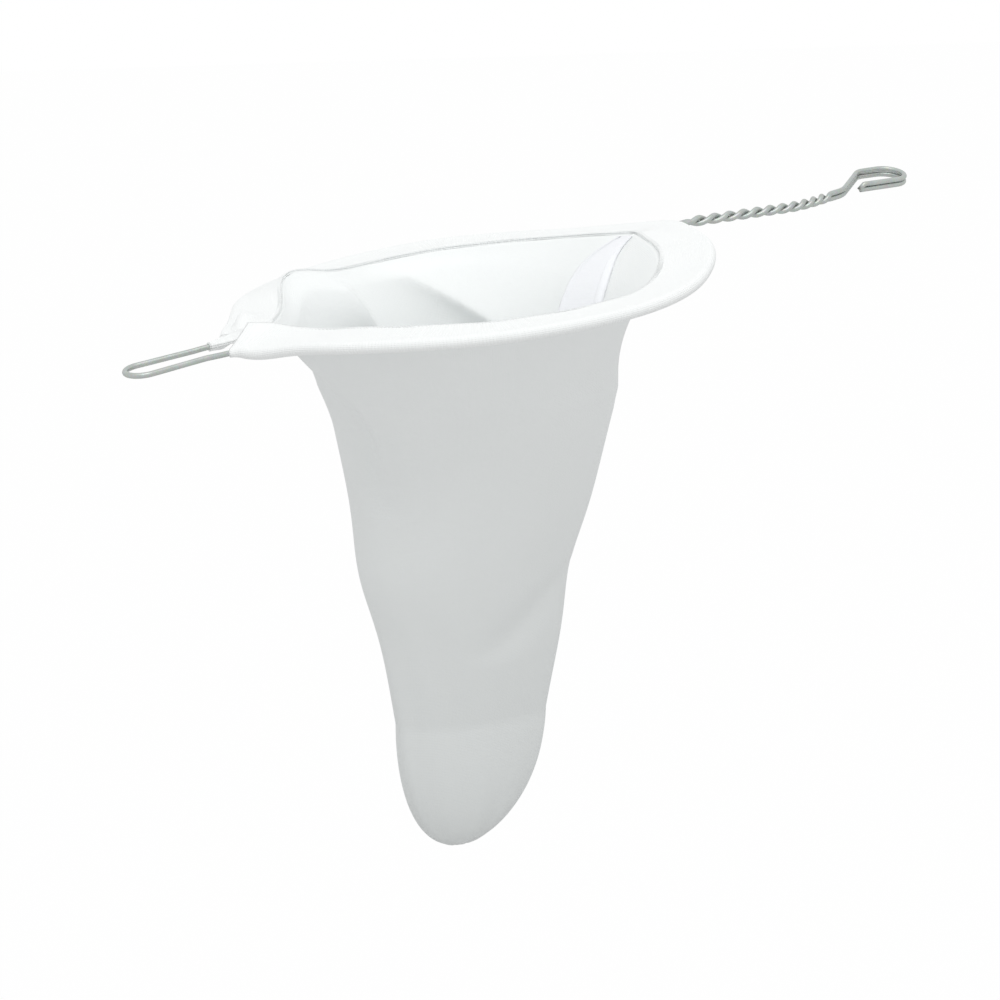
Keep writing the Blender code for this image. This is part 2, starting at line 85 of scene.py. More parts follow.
EYE_NECK_BEND = 5.0 * MM
EYE_LENGTH = 12.6 * MM
EYE_WIDTH = 11.0 * MM
EYE_ROLL = math.radians(12.0)
UPPER_CUT_BACK = 18.0 * MM
LOWER_CUT_BACK = 19.7 * MM
LOOP_NECK = 73.5 * MM
LOOP_NECK_WIDTH = 8.0 * MM
LOOP_NECK_BEND = 4.0 * MM
LOOP_LENGTH = 30.8 * MM
LOOP_WIDTH = 10.4 * MM
LOOP_TO_FRONT = 1.2 * MM
LOOP_DIP = math.radians(0.2)
LOOP_ROLL = math.radians(4.5)
LOOP_ROLL_EASE = 8.0 * MM
LOOP_WAVES_EASE = 10.0 * MM
# The bend of a half round, as a share of half its width: its two arcs leave a short straight between them
HALF_ROUND = 0.98
# The hoop's waves: it isn't quite flat. Each has its bearing and half width in degrees, and its height
HOOP_WAVES = (
    (-172.0, 9.0, -1.5 * MM),
    (172.0, 9.0, 1.0 * MM),
    (-139.0, 27.0, 1.3 * MM),
    (-68.0, 24.0, -1.2 * MM),
    (31.0, 22.0, -2.5 * MM),
    (150.0, 18.0, -0.8 * MM),
)
ZINC = (0.54, 0.57, 0.55)
ZINC_DARK = (0.40, 0.43, 0.41)


def bent_line(corners, step=0.4 * MM):
    """A bent wire's centre line through corners (x, y, bend radius): straight runs joined by tangent arcs,
    which are then walked in even steps."""
    points = [np.array(corners[0][:2])]
    for before, here, after in zip(corners, corners[1:], corners[2:]):
        corner = np.array(here[:2])
        back = np.array(before[:2]) - corner
        ahead = np.array(after[:2]) - corner
        back /= np.linalg.norm(back)
        ahead /= np.linalg.norm(ahead)
        turn = math.pi - math.acos(np.clip(back @ ahead, -1.0, 1.0))
        half = (math.pi - turn) / 2
        middle = corner + (back + ahead) / np.linalg.norm(back + ahead) * here[2] / math.sin(half)
        start = corner + back * here[2] / math.tan(half) - middle
        side = math.copysign(1.0, start[0] * -back[1] + start[1] * back[0])
        turned = rotated(*start, np.linspace(0.0, turn * side, BEND_POINTS))
        points += list(middle + np.stack(turned, axis=-1))
    points = np.array(points + [np.array(corners[-1][:2])])
    travelled = distance_along(points)
    even = np.linspace(0.0, travelled[-1], math.ceil(travelled[-1] / step) + 1)
    return np.stack([np.interp(even, travelled, points[:, k]) for k in (0, 1)], axis=-1)


def rotated(first, second, angle):
    """Two coordinates after a turn by the angle, from the first's axis towards the second's."""
    return first * np.cos(angle) - second * np.sin(angle), first * np.sin(angle) + second * np.cos(angle)


def distance_along(points):
    """The length of the line up to each of its points: the sum of the straight steps before it."""
    steps = np.linalg.norm(np.diff(points, axis=0), axis=-1)
    return np.concatenate([0.0 * steps[:1], np.cumsum(steps, axis=0)])


def unit(vectors):
    """Each vector divided by its length."""
    return vectors / np.linalg.norm(vectors, axis=-1, keepdims=True)


def ease(x):
    """Runs from 0 to 1 with level ends as x runs from 0 to 1: three times its square less twice its cube."""
    x = np.clip(x, 0.0, 1.0)
    return x * x * (3.0 - 2.0 * x)


def tangent_corner(first, second):
    """Where the lines from two points that touch the hoop's circle on its far side meet."""
    reach = [math.hypot(*point) for point in (first, second)]
    bearing = [math.atan2(point[1], point[0]) for point in (first, second)]
    side = math.copysign(1.0, first[1])
    touch = [
        bearing[0] - side * math.acos(HOOP_RADIUS / reach[0]),
        bearing[1] + side * math.acos(HOOP_RADIUS / reach[1]),
    ]
    if side < 0.0:
        touch = [angle % math.tau for angle in touch]
    middle = (touch[0] + touch[1]) / 2
    far = HOOP_RADIUS / math.cos(abs(touch[0] - touch[1]) / 2)
    return far * math.cos(middle), far * math.sin(middle)


def loop_corners(side):
    """The rest loop's corners on one side of it, from its tip to the hoop. side is -1 in front and 1 at the
    back, where the hoop runs straight for a stretch before it turns into its circle."""
    tip = (-LOOP_NECK - LOOP_LENGTH) / HOOP_SQUASH
    corners = [
        (tip, -LOOP_TO_FRONT, 0.0),
        (tip, side * LOOP_WIDTH / 2 - LOOP_TO_FRONT, LOOP_WIDTH / 2 * HALF_ROUND),
        (-LOOP_NECK / HOOP_SQUASH, side * LOOP_NECK_WIDTH / 2, LOOP_NECK_BEND),
    ]
    if side > 0:
        corners.append((FLAT_REACH * math.cos(FLAT_BEARING), FLAT_REACH * math.sin(FLAT_BEARING), FLAT_BEND))
    return corners


def degrees_past(bearing, middle):
    """How many degrees a bearing in radians lies past a middle in degrees, the shorter way round."""
    return (np.degrees(bearing) - middle + 180.0) % 360.0 - 180.0


def waves_at(bearing, waves):
    """The sum of some bells round their bearings: each is its height times e to the power of minus the
    square of how many of its half widths a bearing lies off its middle."""
    return sum(
        height * np.exp(-(degrees_past(bearing, middle) / half_width) ** 2)
        for middle, half_width, height in waves
    )


def lift_at(u, v):
    """How far the wire stands off the hoop's plane: its waves, which fade out at the handle and the rest
    loop, then up to the handle, and down along the rest loop, which is rolled up at its back strand."""
    past_neck = np.maximum(-u - LOOP_NECK, 0.0)
    faded = ease((HANDLE_REACH - u) / HANDLE_EASE) * (1.0 - ease(past_neck / LOOP_WAVES_EASE))
    waves = waves_at(np.arctan2(v, u), HOOP_WAVES) * faded
    at_handle = HANDLE_LIFT * ease((u - HANDLE_LIFT_FROM) / (HANDLE_REACH - HANDLE_LIFT_FROM))
    rolled = v * math.tan(LOOP_ROLL) * ease(past_neck / LOOP_ROLL_EASE)
    return waves + at_handle - past_neck * math.tan(LOOP_DIP) + rolled


def hang(u, v, w):
    """Places a point of the hoop's plane, which is tilted about Y, in the axes of the whole object."""
    x, z = rotated(u, w, HANG_TILT)
    return np.stack([x, v + 0.0 * u, z], axis=-1)


def hoop_half(side):
    """One half of the hoop, from the rest loop's tip to the twist, as a bent line in the hoop's plane."""
    loop = loop_corners(side)
    nose = ((HANDLE_REACH - NOSE_BEND) / HOOP_SQUASH, side * STRAND_OFFSET)
    corners = loop + [
        (*tangent_corner(loop[-1][:2], nose), HOOP_RADIUS),
        (*nose, NOSE_BEND),
        (HANDLE_REACH / HOOP_SQUASH, nose[1], 0.0),
    ]
    flat = bent_line(corners) * (HOOP_SQUASH, 1.0)
    return hang(flat[:, 0], flat[:, 1], lift_at(flat[:, 0], flat[:, 1]))


def handle_axis(cut_back):
    """The line midway between the two strands, from the twist's start along grip, shank and eye to a cut
    end, which lies back from the eye's far side."""
    shank = (GRIP_LENGTH + SHANK_LENGTH * math.cos(SHANK_TURN), SHANK_LENGTH * math.sin(SHANK_TURN))
    back = shank[1] + EYE_NECK_LENGTH * math.sin(EYE_NECK_TURN)
    near = shank[0] + EYE_NECK_LENGTH * math.cos(EYE_NECK_TURN)
    far = near + EYE_LENGTH
    return bent_line([
        (0.0, 0.0, 0.0),
        (GRIP_LENGTH, 0.0, GRIP_BEND),
        (*shank, SHANK_BEND),
        (near, back, EYE_NECK_BEND),
        (far, back, EYE_WIDTH / 2 * HALF_ROUND),
        (far, back - EYE_WIDTH, EYE_WIDTH / 2 * HALF_ROUND),
        (far - cut_back, back - EYE_WIDTH, 0.0),
    ])


def handle_half(side):
    """One strand of the handle: a helix about the handle's axis, whose twist eases in, tightens evenly
    towards the eye and eases out, and then a line beside the other strand's."""
    walked = np.linspace(0.0, TWIST_LENGTH, 800)
    rate = ease(walked / TWIST_EASE_IN) * ease((TWIST_LENGTH - walked) / TWIST_EASE_OUT)
    rate *= 1.0 + TWIST_TIGHTENING * (2.0 * walked / TWIST_LENGTH - 1.0)
    turned = np.concatenate([[0.0], np.cumsum((rate[1:] + rate[:-1]) / 2)])
    turned *= (math.pi * (TWIST_HALF_TURNS + 0.5) - EYE_ROLL) / turned[-1]
    start = -EYE_ROLL if side > 0 else math.pi - EYE_ROLL
    upper = math.sin(start - turned[-1]) > 0.0
    axis = handle_axis(UPPER_CUT_BACK if upper else LOWER_CUT_BACK)
    along = distance_along(axis)
    heading = unit(np.gradient(axis, axis=0))
    angle = start - np.interp(along, walked, turned)
    wander = STRAND_WANDER * np.sin(along / STRAND_WANDER_LENGTH + side)
    back = axis[:, 1] + heading[:, 0] * STRAND_OFFSET * np.cos(angle)
    ahead = axis[:, 0] - heading[:, 1] * STRAND_OFFSET * np.cos(angle)
    up = STRAND_OFFSET * np.sin(angle) + wander * ease((along - TWIST_LENGTH) / STRAND_WANDER_EASE)
    back, up = rotated(back, up, EYE_ROLL)
    ahead, up = rotated(ahead, up, -HANDLE_DIP)
    return hang(HANDLE_REACH + ahead, back, HANDLE_LIFT + up)[1:]


def tube(line, radius, sides):
    """Rings of points round a line: each is a circle square to it, with its first point level beside it."""
    heading = unit(np.gradient(line, axis=0))
    aside = unit(np.cross((0.0, 0.0, 1.0), heading))
    over = np.cross(heading, aside)
    angle = np.linspace(0.0, math.tau, sides, endpoint=False)[None, :, None]
    ring = aside[:, None] * np.cos(angle) + over[:, None] * np.sin(angle)
    return line[:, None] + radius[:, None, None] * ring


def surface(name, points, uv, closed=False, ends=()):
    """A mesh of four-sided faces over a grid of points, with a UV in metres for each. Rows may close on
    themselves. Each end is a row, 0 or -1, and the point to which a fan of triangles closes that row."""
    rows, columns = points.shape[:2]
    across = columns if closed else columns - 1
    r, k = np.meshgrid(np.arange(rows - 1), np.arange(across), indexing="ij")
    r, k = r.ravel(), k.ravel()
    beside = (k + 1) % columns
    near, far = r * columns, (r + 1) * columns
    faces = np.stack([near + k, near + beside, far + beside, far + k], axis=-1)
    face_uv = np.stack([uv[r, k], uv[r, k + 1], uv[r + 1, k + 1], uv[r + 1, k]], axis=1).reshape(-1, 2)
    vertices, faces = points.reshape(-1, 3), faces.tolist()
    ring = np.arange(columns)
    for row, end in ends:
        row = row % rows
        order = ring if row else ring[::-1]
        tip = np.full(columns, len(vertices))
        faces += np.stack([row * columns + order, row * columns + np.roll(order, -1), tip], axis=-1).tolist()
        turn = np.stack([uv[row, order], uv[row, order + 1 if row else order - 1], uv[row, order]], axis=1)
        face_uv = np.concatenate([face_uv, turn.reshape(-1, 2)])
        vertices = np.concatenate([vertices, [end]])
    mesh = bpy.data.meshes.new(name)
    mesh.from_pydata(vertices.tolist(), [], faces)
    mesh.uv_layers.new(name="cloth").data.foreach_set("uv", face_uv.ravel())
    mesh.polygons.foreach_set("use_smooth", np.ones(len(mesh.polygons), dtype=bool))
    mesh.update()
    piece = bpy.data.objects.new(name, mesh)
    bpy.context.scene.collection.objects.link(piece)
    return piece


def grid_uv(along, across):
    """The UV of each point of a grid: its distance along the rows' order and its distance across a row."""
    return np.stack(np.meshgrid(along, across, indexing="ij"), axis=-1)


def node(tree, kind, **settings):
    """One node of a material: its settings by name, and its inputs' values or links by place or name."""
    made = tree.nodes.new(kind)
    for key, value in settings.pop("inputs", {}).items():
        if isinstance(value, bpy.types.NodeSocket):
            tree.links.new(value, made.inputs[key])
        else:
            made.inputs[key].default_value = value
    for key, value in settings.items():
        setattr(made, key, value)
    return made


def noise(tree, place, scale, detail):
    """A soft noise from 0 to 1 over a place."""
    made = node(tree, "ShaderNodeTexNoise", inputs={"Vector": place, "Scale": scale, "Detail": detail})
    return made.outputs["Fac"]


def mixed(tree, share, low, high, blend="MIX"):
    """A colour that goes from low to high as the share goes from 0 to 1."""
    mix = node(tree, "ShaderNodeMix", data_type="RGBA", blend_type=blend)
    for socket, value in ((mix.inputs[0], share), (mix.inputs[6], low), (mix.inputs[7], high)):
        if isinstance(value, bpy.types.NodeSocket):
            tree.links.new(value, socket)
        else:
            socket.default_value = value if isinstance(value, float) else (*value, 1.0)
    return mix.outputs[2]


def dull_zinc():
    """Zinc dipped on drawn steel wire: faint spangles, a dull patchy bloom and fine marks along the wire."""
    material = bpy.data.materials.new("dull_zinc")
    material.use_nodes = True
    tree = material.node_tree
    shader = tree.nodes["Principled BSDF"]
    place = node(tree, "ShaderNodeTexCoord").outputs
    bloom = noise(tree, place["Object"], scale=260.0, detail=4.0)
    spangle = node(tree, "ShaderNodeTexVoronoi", inputs={"Vector": place["Object"], "Scale": 1500.0})
    stretch = node(tree, "ShaderNodeMapping", inputs={"Vector": place["UV"], "Scale": (250.0, 9000.0, 1.0)})
    marks = noise(tree, stretch.outputs[0], scale=1.0, detail=3.0)
    tone = mixed(tree, bloom, ZINC_DARK, ZINC)
    tone = mixed(tree, 0.10, tone, spangle.outputs["Color"], "SOFT_LIGHT")
    tree.links.new(tone, shader.inputs["Base Color"])
    rough = node(tree, "ShaderNodeMapRange", inputs={"Value": bloom, "To Min": 0.34, "To Max": 0.56})
    tree.links.new(rough.outputs["Result"], shader.inputs["Roughness"])
    shader.inputs["Metallic"].default_value = 0.85
    bump = node(tree, "ShaderNodeBump", inputs={"Height": marks, "Strength": 0.25, "Distance": 0.05 * MM})
    tree.links.new(bump.outputs["Normal"], shader.inputs["Normal"])
    return material


halves = [np.concatenate([hoop_half(side), handle_half(side)])[::-side] for side in (-1, 1)]
wire_line = np.concatenate(halves)
apart = np.linalg.norm(np.diff(wire_line, axis=0), axis=1) > 0.001 * MM
wire_line = wire_line[np.concatenate([[True], apart])]
along = distance_along(wire_line)
from_cut = ease(np.minimum(along, along[-1] - along) / CUT_END_LENGTH)
wire_radius = WIRE_RADIUS * (1.0 - CUT_END_TAPER * (1.0 - from_cut))
wire = surface(
    "wire",
    tube(wire_line, wire_radius, WIRE_SIDES),
    grid_uv(along, np.linspace(0.0, math.tau * WIRE_RADIUS, WIRE_SIDES + 1)),
    closed=True,
    ends=((0, wire_line[0]), (-1, wire_line[-1])),
)
wire.data.materials.append(dull_zinc())
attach(wire, "root")
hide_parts("wire_frame")


# The hem
# A doubled strip of white ribbed cotton that is folded over the wire and stands almost level inside the
# hoop, with a buckle at the back left. At the rest loop its front end stands up and lies over its back end,
# which is drawn out along the loop. The handle comes out opposite.
HEM_WIDTH = 14.0 * MM
HEM_CLOTH = 0.42 * MM
HEM_PLY_GAP = 0.05 * MM
HEM_ROWS = 461
PLY_STEPS = 14
SLEEVE_RADIUS = 1.45 * MM
SLEEVE_STEPS = 14
SLEEVE_CLOSING = 2.2
SLEEVE_END_PINCH = 0.28
SLEEVE_END_LENGTH = 5.0 * MM
HEM_APEX = 71.4 * MM
HEM_APEX_BEND = 20.0 * MM
FRONT_END = -75.9 * MM
FRONT_END_STAND = 14.0
FRONT_END_LENGTH = 26.0 * MM
FRONT_END_TURN = math.radians(42.0)
FRONT_END_TURN_FROM = -60.0 * MM
BACK_END = -78.2 * MM
BACK_END_NARROWING = 0.65
BACK_END_LENGTH = 6.5 * MM
HEM_ENDS_GAP = 0.1 * MM
BUCKLE_FROM_END = 20.0 * MM
BUCKLE_HALF_LENGTH = 13.0 * MM
BUCKLE_HEIGHT = 3.4 * MM
BUCKLE_NARROWING = 0.12
# Where the buckle rises from the hem and where it is highest, as shares of the hem's width from the wire
BUCKLE_FOOT = 0.10
BUCKLE_TOP = 0.36
RIPPLE_HEIGHT = 0.12 * MM
RIPPLE_LENGTHS = (6.1 * MM, 17.0 * MM)
# How far the hem's inner edge stands up, in degrees, and where it does so more or less, as in HOOP_WAVES
HEM_SLOPE = 4.0
HEM_SLOPES = (
    (-150.0, 25.0, 3.0),
    (-50.0, 25.0, -4.0),
    (34.0, 22.0, 4.0),
    (127.0, 16.0, 22.0),
)
WHITE_COTTON = (0.955, 0.97, 0.965)
WHITE_COTTON_SHADE = (0.92, 0.94, 0.94)
# The pitch that a wave texture has in the UV's metres at a scale of 1
WAVE_PITCH = math.tau / 20.0

apex = (HEM_APEX / HOOP_SQUASH, 0.0)
hem_route = bent_line([
    *loop_corners(-1)[1:],
    (*tangent_corner(loop_corners(-1)[-1][:2], apex), HOOP_RADIUS),
    (*apex, HEM_APEX_BEND),
    (*tangent_corner(loop_corners(1)[-1][:2], apex), HOOP_RADIUS),
    *loop_corners(1)[:0:-1],
]) * (HOOP_SQUASH, 1.0)
hem_heading = unit(np.gradient(hem_route, axis=0))
hem_turned = np.arctan2(hem_heading[:, 0], -hem_heading[:, 1])
# The stiff strip can't follow the sharp turn into the rest loop, so its front end turns less than the wire
stiff = (hem_route[:, 0] < FRONT_END_TURN_FROM) & (hem_route[:, 1] < 0.0)
hem_turned = np.where(stiff, np.minimum(hem_turned, FRONT_END_TURN), hem_turned)
hem_inward = np.stack([np.cos(hem_turned), np.sin(hem_turned)], axis=-1)
covered = hem_route[:, 0] > np.where(hem_route[:, 1] < 0.0, FRONT_END, BACK_END)
hem_route, hem_inward = hem_route[covered], hem_inward[covered]
hem_along = distance_along(hem_route)


def buckle(along):
    """How much of the back left's buckle there is at a distance along the hem: a bell round its middle."""
    return np.exp(-((hem_along[-1] - BUCKLE_FROM_END - along) / BUCKLE_HALF_LENGTH) ** 2)


def on_hem(along, reach, rise, stand=0.0, free=False):
    """The place at a distance along the hem, a reach inwards from the wire and a rise off the hem's middle,
    turned about the wire by the hem's slope and by the degrees that it stands up besides. The buckle takes
    up a share of the reach. Near the rest loop the reach ends at the middle line, except where the strip's
    end is free."""
    along, reach, rise, stand, free = np.broadcast_arrays(along, reach, rise, stand, free)
    u, v = (np.interp(along, hem_along, hem_route[:, k]) for k in (0, 1))
    inward = unit(np.stack([np.interp(along, hem_along, hem_inward[:, k]) for k in (0, 1)], axis=-1))
    slope = np.radians(HEM_SLOPE + waves_at(np.arctan2(v, u), HEM_SLOPES) + stand)
    limit = np.maximum(np.abs(v) - HEM_ENDS_GAP, 0.0) / np.maximum(-np.sign(v) * inward[..., 1], 1e-6)
    limit = np.where(free | (u > 0.0), HOOP_RADIUS, limit)
    left = np.minimum(limit / (HEM_WIDTH * np.cos(slope)), 1.0 - BUCKLE_NARROWING * buckle(along))
    drawn = reach * np.where(reach > 0.0, left, 1.0)
    level = np.minimum(drawn * np.cos(slope) - rise * np.sin(slope), limit)
    w = lift_at(u, v) + drawn * np.sin(slope) + rise * np.cos(slope)
    return hang(u + inward[..., 0] * level, v + inward[..., 1] * level, w)


def ply_rise(reach):
    """How far each ply's middle lies off the hem's middle: it closes from the sleeve round the wire to the
    sewn edge, by a power of the share of the width that is left."""
    ply = (HEM_CLOTH + HEM_PLY_GAP) / 2
    return ply + (SLEEVE_RADIUS - ply) * (1.0 - np.clip(reach / HEM_WIDTH, 0.0, 1.0)) ** SLEEVE_CLOSING


def end_stand(along):
    """The degrees by which the strip's front end stands up, easing off along the hem."""
    return FRONT_END_STAND * (1.0 - ease(along / FRONT_END_LENGTH))


def hem_section():
    """The strip's section as (reach, rise): along the upper ply, round the wire, back along the lower."""
    ply = HEM_WIDTH * (1.0 - np.linspace(0.0, 1.0, PLY_STEPS + 1)[:-1])
    angle = np.linspace(math.pi / 2, 1.5 * math.pi, SLEEVE_STEPS + 1)
    reach = np.concatenate([ply, SLEEVE_RADIUS * np.cos(angle), ply[::-1]])
    rise = np.concatenate([ply_rise(ply), SLEEVE_RADIUS * np.sin(angle), -ply_rise(ply[::-1])])
    return reach, rise


def cotton(name, light, shade, rib, cross, depth, ribs_share=0.6, toe=None):
    """Woven or ribbed cotton: ribs across the strip and finer threads along it, both from the cloth's own
    UV, a slight unevenness in tone, soft lint and a little sheen. rib and cross are the two pitches, depth
    is the bump's, and toe is a painted shade: a greyer tone that darkens the cloth farthest down, for the
    light that falls off there, with the depth at which it is full."""
    material = bpy.data.materials.new(name)
    material.use_nodes = True
    tree = material.node_tree
    shader = tree.nodes["Principled BSDF"]
    place = node(tree, "ShaderNodeTexCoord").outputs
    waves = []
    for direction, pitch in (("X", rib), ("Y", cross)):
        wave = node(tree, "ShaderNodeTexWave", bands_direction=direction, inputs={
            "Vector": place["UV"],
            "Scale": WAVE_PITCH / pitch,
            "Distortion": 1.2,
            "Detail": 2.0,
            "Detail Scale": 0.35,
        })
        waves.append(wave.outputs["Fac"])
    weave = node(tree, "ShaderNodeMix", data_type="FLOAT", inputs={0: ribs_share, 2: waves[1], 3: waves[0]})
    patches = noise(tree, place["Object"], scale=38.0, detail=5.0)
    lint = noise(tree, place["Object"], scale=1400.0, detail=3.0)
    tone = mixed(tree, patches, shade, light)
    # Painted shade: the colour greys towards the bag's bottom, for the light that falls off there
    if toe:
        painted_toe_shade, painted_shade_full_depth = toe
        height = node(tree, "ShaderNodeSeparateXYZ", inputs={0: place["Object"]})
        down = node(tree, "ShaderNodeMath", operation="MULTIPLY", use_clamp=True, inputs={
            0: height.outputs["Z"],
            1: -1.0 / painted_shade_full_depth,
        })
        down = node(tree, "ShaderNodeMath", operation="POWER", inputs={0: down.outputs[0], 1: 0.6})
        tone = mixed(tree, down.outputs[0], tone, painted_toe_shade)
    tone = mixed(tree, 0.10, tone, mixed(tree, weave.outputs[0], shade, (1.0, 1.0, 1.0)), "MULTIPLY")
    tree.links.new(tone, shader.inputs["Base Color"])
    shader.inputs["Roughness"].default_value = 0.92
    shader.inputs["Specular IOR Level"].default_value = 0.2
    shader.inputs["Sheen Weight"].default_value = 0.12
    shader.inputs["Sheen Roughness"].default_value = 0.6
    fuzz = node(tree, "ShaderNodeBump", inputs={"Height": lint, "Strength": 0.3, "Distance": 0.12 * MM})
    bump = node(tree, "ShaderNodeBump", inputs={
        "Height": weave.outputs[0],
        "Normal": fuzz.outputs["Normal"],
        "Strength": 0.8,
        "Distance": depth,
    })
    tree.links.new(bump.outputs["Normal"], shader.inputs["Normal"])
    return material


def thicken(piece, thickness):
    """Gives a sheet its cloth's thickness, half to each side."""
    cloth = piece.modifiers.new("cloth", "SOLIDIFY")
    cloth.thickness = thickness
    cloth.offset = 0.0
    cloth.use_even_offset = True


hem_reach, hem_rise = hem_section()
stops = np.linspace(0.0, hem_along[-1], HEM_ROWS)[:, None]
to_end = hem_along[-1] - stops
inwards = np.clip(hem_reach / HEM_WIDTH, 0.0, 1.0)
ripple = RIPPLE_HEIGHT * np.sin(stops / RIPPLE_LENGTHS[0]) * np.sin(stops / RIPPLE_LENGTHS[1] + 1.0)
bulge = BUCKLE_HEIGHT * buckle(stops) * ease((inwards - BUCKLE_FOOT) / (BUCKLE_TOP - BUCKLE_FOOT))
bulge = bulge * (1.0 - ease((inwards - BUCKLE_TOP) / (1.0 - BUCKLE_TOP)))
at_ends = 1.0 - ease(np.minimum(stops, to_end) / SLEEVE_END_LENGTH)
closing = 1.0 - SLEEVE_END_PINCH * at_ends * (1.0 - inwards)
narrowing = 1.0 - BACK_END_NARROWING * (1.0 - ease(to_end / BACK_END_LENGTH))
reach = np.where(hem_reach > 0.0, hem_reach * narrowing, hem_reach * closing)
rise = hem_rise * closing + ripple * inwards + bulge
hem_points = on_hem(stops, reach, rise, end_stand(stops), stops < hem_along[-1] / 2)
across = distance_along(hem_points.swapaxes(0, 1)).T
hem = surface("hem", hem_points, np.stack([np.broadcast_to(stops, across.shape), across], axis=-1))
thicken(hem, HEM_CLOTH)
hem.data.materials.append(cotton(
    "white_ribbed_cotton",
    WHITE_COTTON,
    WHITE_COTTON_SHADE,
    rib=0.9 * MM,
    cross=0.45 * MM,
    depth=0.17 * MM,
))
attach(hem, "root")
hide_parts("hem_front", "hem_back")


# The filter bag
# One thin piece of plain undyed cotton, sewn to the hem's inner edge all round. It hangs plumb from the rim,
# gathers to a narrow rounded toe and falls into a few soft folds under its own weight.
BAG_CLOTH = 0.4 * MM
BAG_DEPTH = 164.8 * MM
BAG_ROWS = 150
BAG_ROWS_CROWDING = 0.1
BAG_COLUMNS = 280
BAG_ROUND = 0.34
LIP_WIDTH = 4.0 * MM
LIP_ROWS = 4
LIP_STAND_EASE = 12.0 * MM
MOUTH_PAST_HEM = 0.45 * MM
MOUTH_FROM_MIDDLE = 0.5 * MM
MOUTH_FALL = 32.0 * MM
MOUTH_FADING = 1.7
WAIST_DEPTH = 28.0 * MM
WAIST_HALF_WIDTH = 41.6 * MM
WAIST_HALF_THICK = 42.4 * MM
TAPER_BOW = 0.12
TOE_DEPTH = 126.0 * MM
TOE_HALF_WIDTH = 24.0 * MM
TOE_HALF_THICK = 11.1 * MM
TOE_TURN = 4.4 * MM
AXIS_TO_HANDLE = 1.2 * MM
SWAY = 2.3 * MM
SWAY_DEPTH = 81.0 * MM
SWAY_HALF_LENGTH = 15.0 * MM
UNEVENNESS = 0.25 * MM
UNEVENNESS_EASE = 30.0 * MM
FOLDS_EASE = 5.0 * MM
UNDYED_COTTON = (0.94, 0.96, 0.955)
UNDYED_COTTON_SHADE = (0.91, 0.93, 0.93)
# Painted shade: the greyer colour of the bag's cloth at its bottom, for the light that falls off there
UNDYED_COTTON_PAINTED_TOE_SHADE = (0.735, 0.76, 0.755)

# Each fold: the bearings and the depths of its crease's two ends, its half widths to either side, its shape
# (1 is a sharp crease, 2 a round one), how late along the crease it is deepest, and its push inwards
FOLDS = (
    ((165.0, 200.0), (14.0 * MM, 62.0 * MM), (13.0, 13.0), 2.0, 1.0, 4.5 * MM),
    ((119.0, 98.0), (-8.0 * MM, 23.0 * MM), (4.5, 24.0), 1.2, 1.1, 6.8 * MM),
    ((105.0, 9.0), (-6.0 * MM, 34.0 * MM), (28.0, 11.0), 1.1, 1.0, 5.2 * MM),
    ((320.0, 262.0), (78.0 * MM, 106.0 * MM), (16.0, 16.0), 2.0, 1.0, 2.0 * MM),
    ((236.0, 222.0), (20.0 * MM, 74.0 * MM), (9.0, 9.0), 2.0, 1.0, 0.9 * MM),
    ((292.0, 300.0), (12.0 * MM, 90.0 * MM), (12.0, 12.0), 2.0, 1.0, 0.7 * MM),
    ((182.0, 194.0), (18.0 * MM, 46.0 * MM), (5.0, 8.0), 2.0, 1.3, 1.4 * MM),
)


def into_toe(depth):
    """The square of how far down the toe a depth lies: 0 where the toe starts and 1 at the bag's bottom."""
    return (np.maximum(depth - TOE_DEPTH, 0.0) / (BAG_DEPTH - TOE_DEPTH)) ** 2


def bag_section(depth):
    """Half the bag's width and thickness at a depth: a bowed taper to the toe, then a rounded end."""
    share = np.clip((depth - WAIST_DEPTH) / (TOE_DEPTH - WAIST_DEPTH), 0.0, 1.0)
    share = share * (1.0 + TAPER_BOW * (1.0 - share))
    rounding = np.sqrt(np.clip(1.0 - into_toe(depth), 0.0, 1.0))
    width = (WAIST_HALF_WIDTH + (TOE_HALF_WIDTH - WAIST_HALF_WIDTH) * share) * rounding
    return width, (WAIST_HALF_THICK + (TOE_HALF_THICK - WAIST_HALF_THICK) * share) * rounding


def bag_axis(depth):
    """Where the bag's axis is in X at a depth: it strays to the handle, sways back, and turns at the toe."""
    sway = SWAY * np.exp(-((depth - SWAY_DEPTH) / SWAY_HALF_LENGTH) ** 2)
    return AXIS_TO_HANDLE * ease(depth / WAIST_DEPTH) - sway - TOE_TURN * into_toe(depth)


def fold_push(bearing, depth):
    """How far all the folds push the cloth in. Along its crease each is half a wave. Across it each is e to
    the power of minus the degrees past the crease over the half width, raised to the fold's shape."""
    push = np.zeros(np.shape(depth))
    for (first, last), (top, foot), half_widths, shape, late, most in FOLDS:
        share = np.clip((depth - top) / (foot - top), 0.0, 1.0)
        past = degrees_past(bearing, first + (last - first) * share)
        bell = np.exp(-np.abs(past / np.where(past < 0.0, *half_widths)) ** shape)
        push += most * np.sin(math.pi * share ** late) * bell
    return push


def unevenness(bearing, z):
    """How far the cloth is pushed in besides: nine slanting swells round the bag, broken up as they go down."""
    return UNEVENNESS * np.sin(9.0 * bearing + 40.0 * z) * np.sin(z / (19.0 * MM) + 2.0 * bearing)


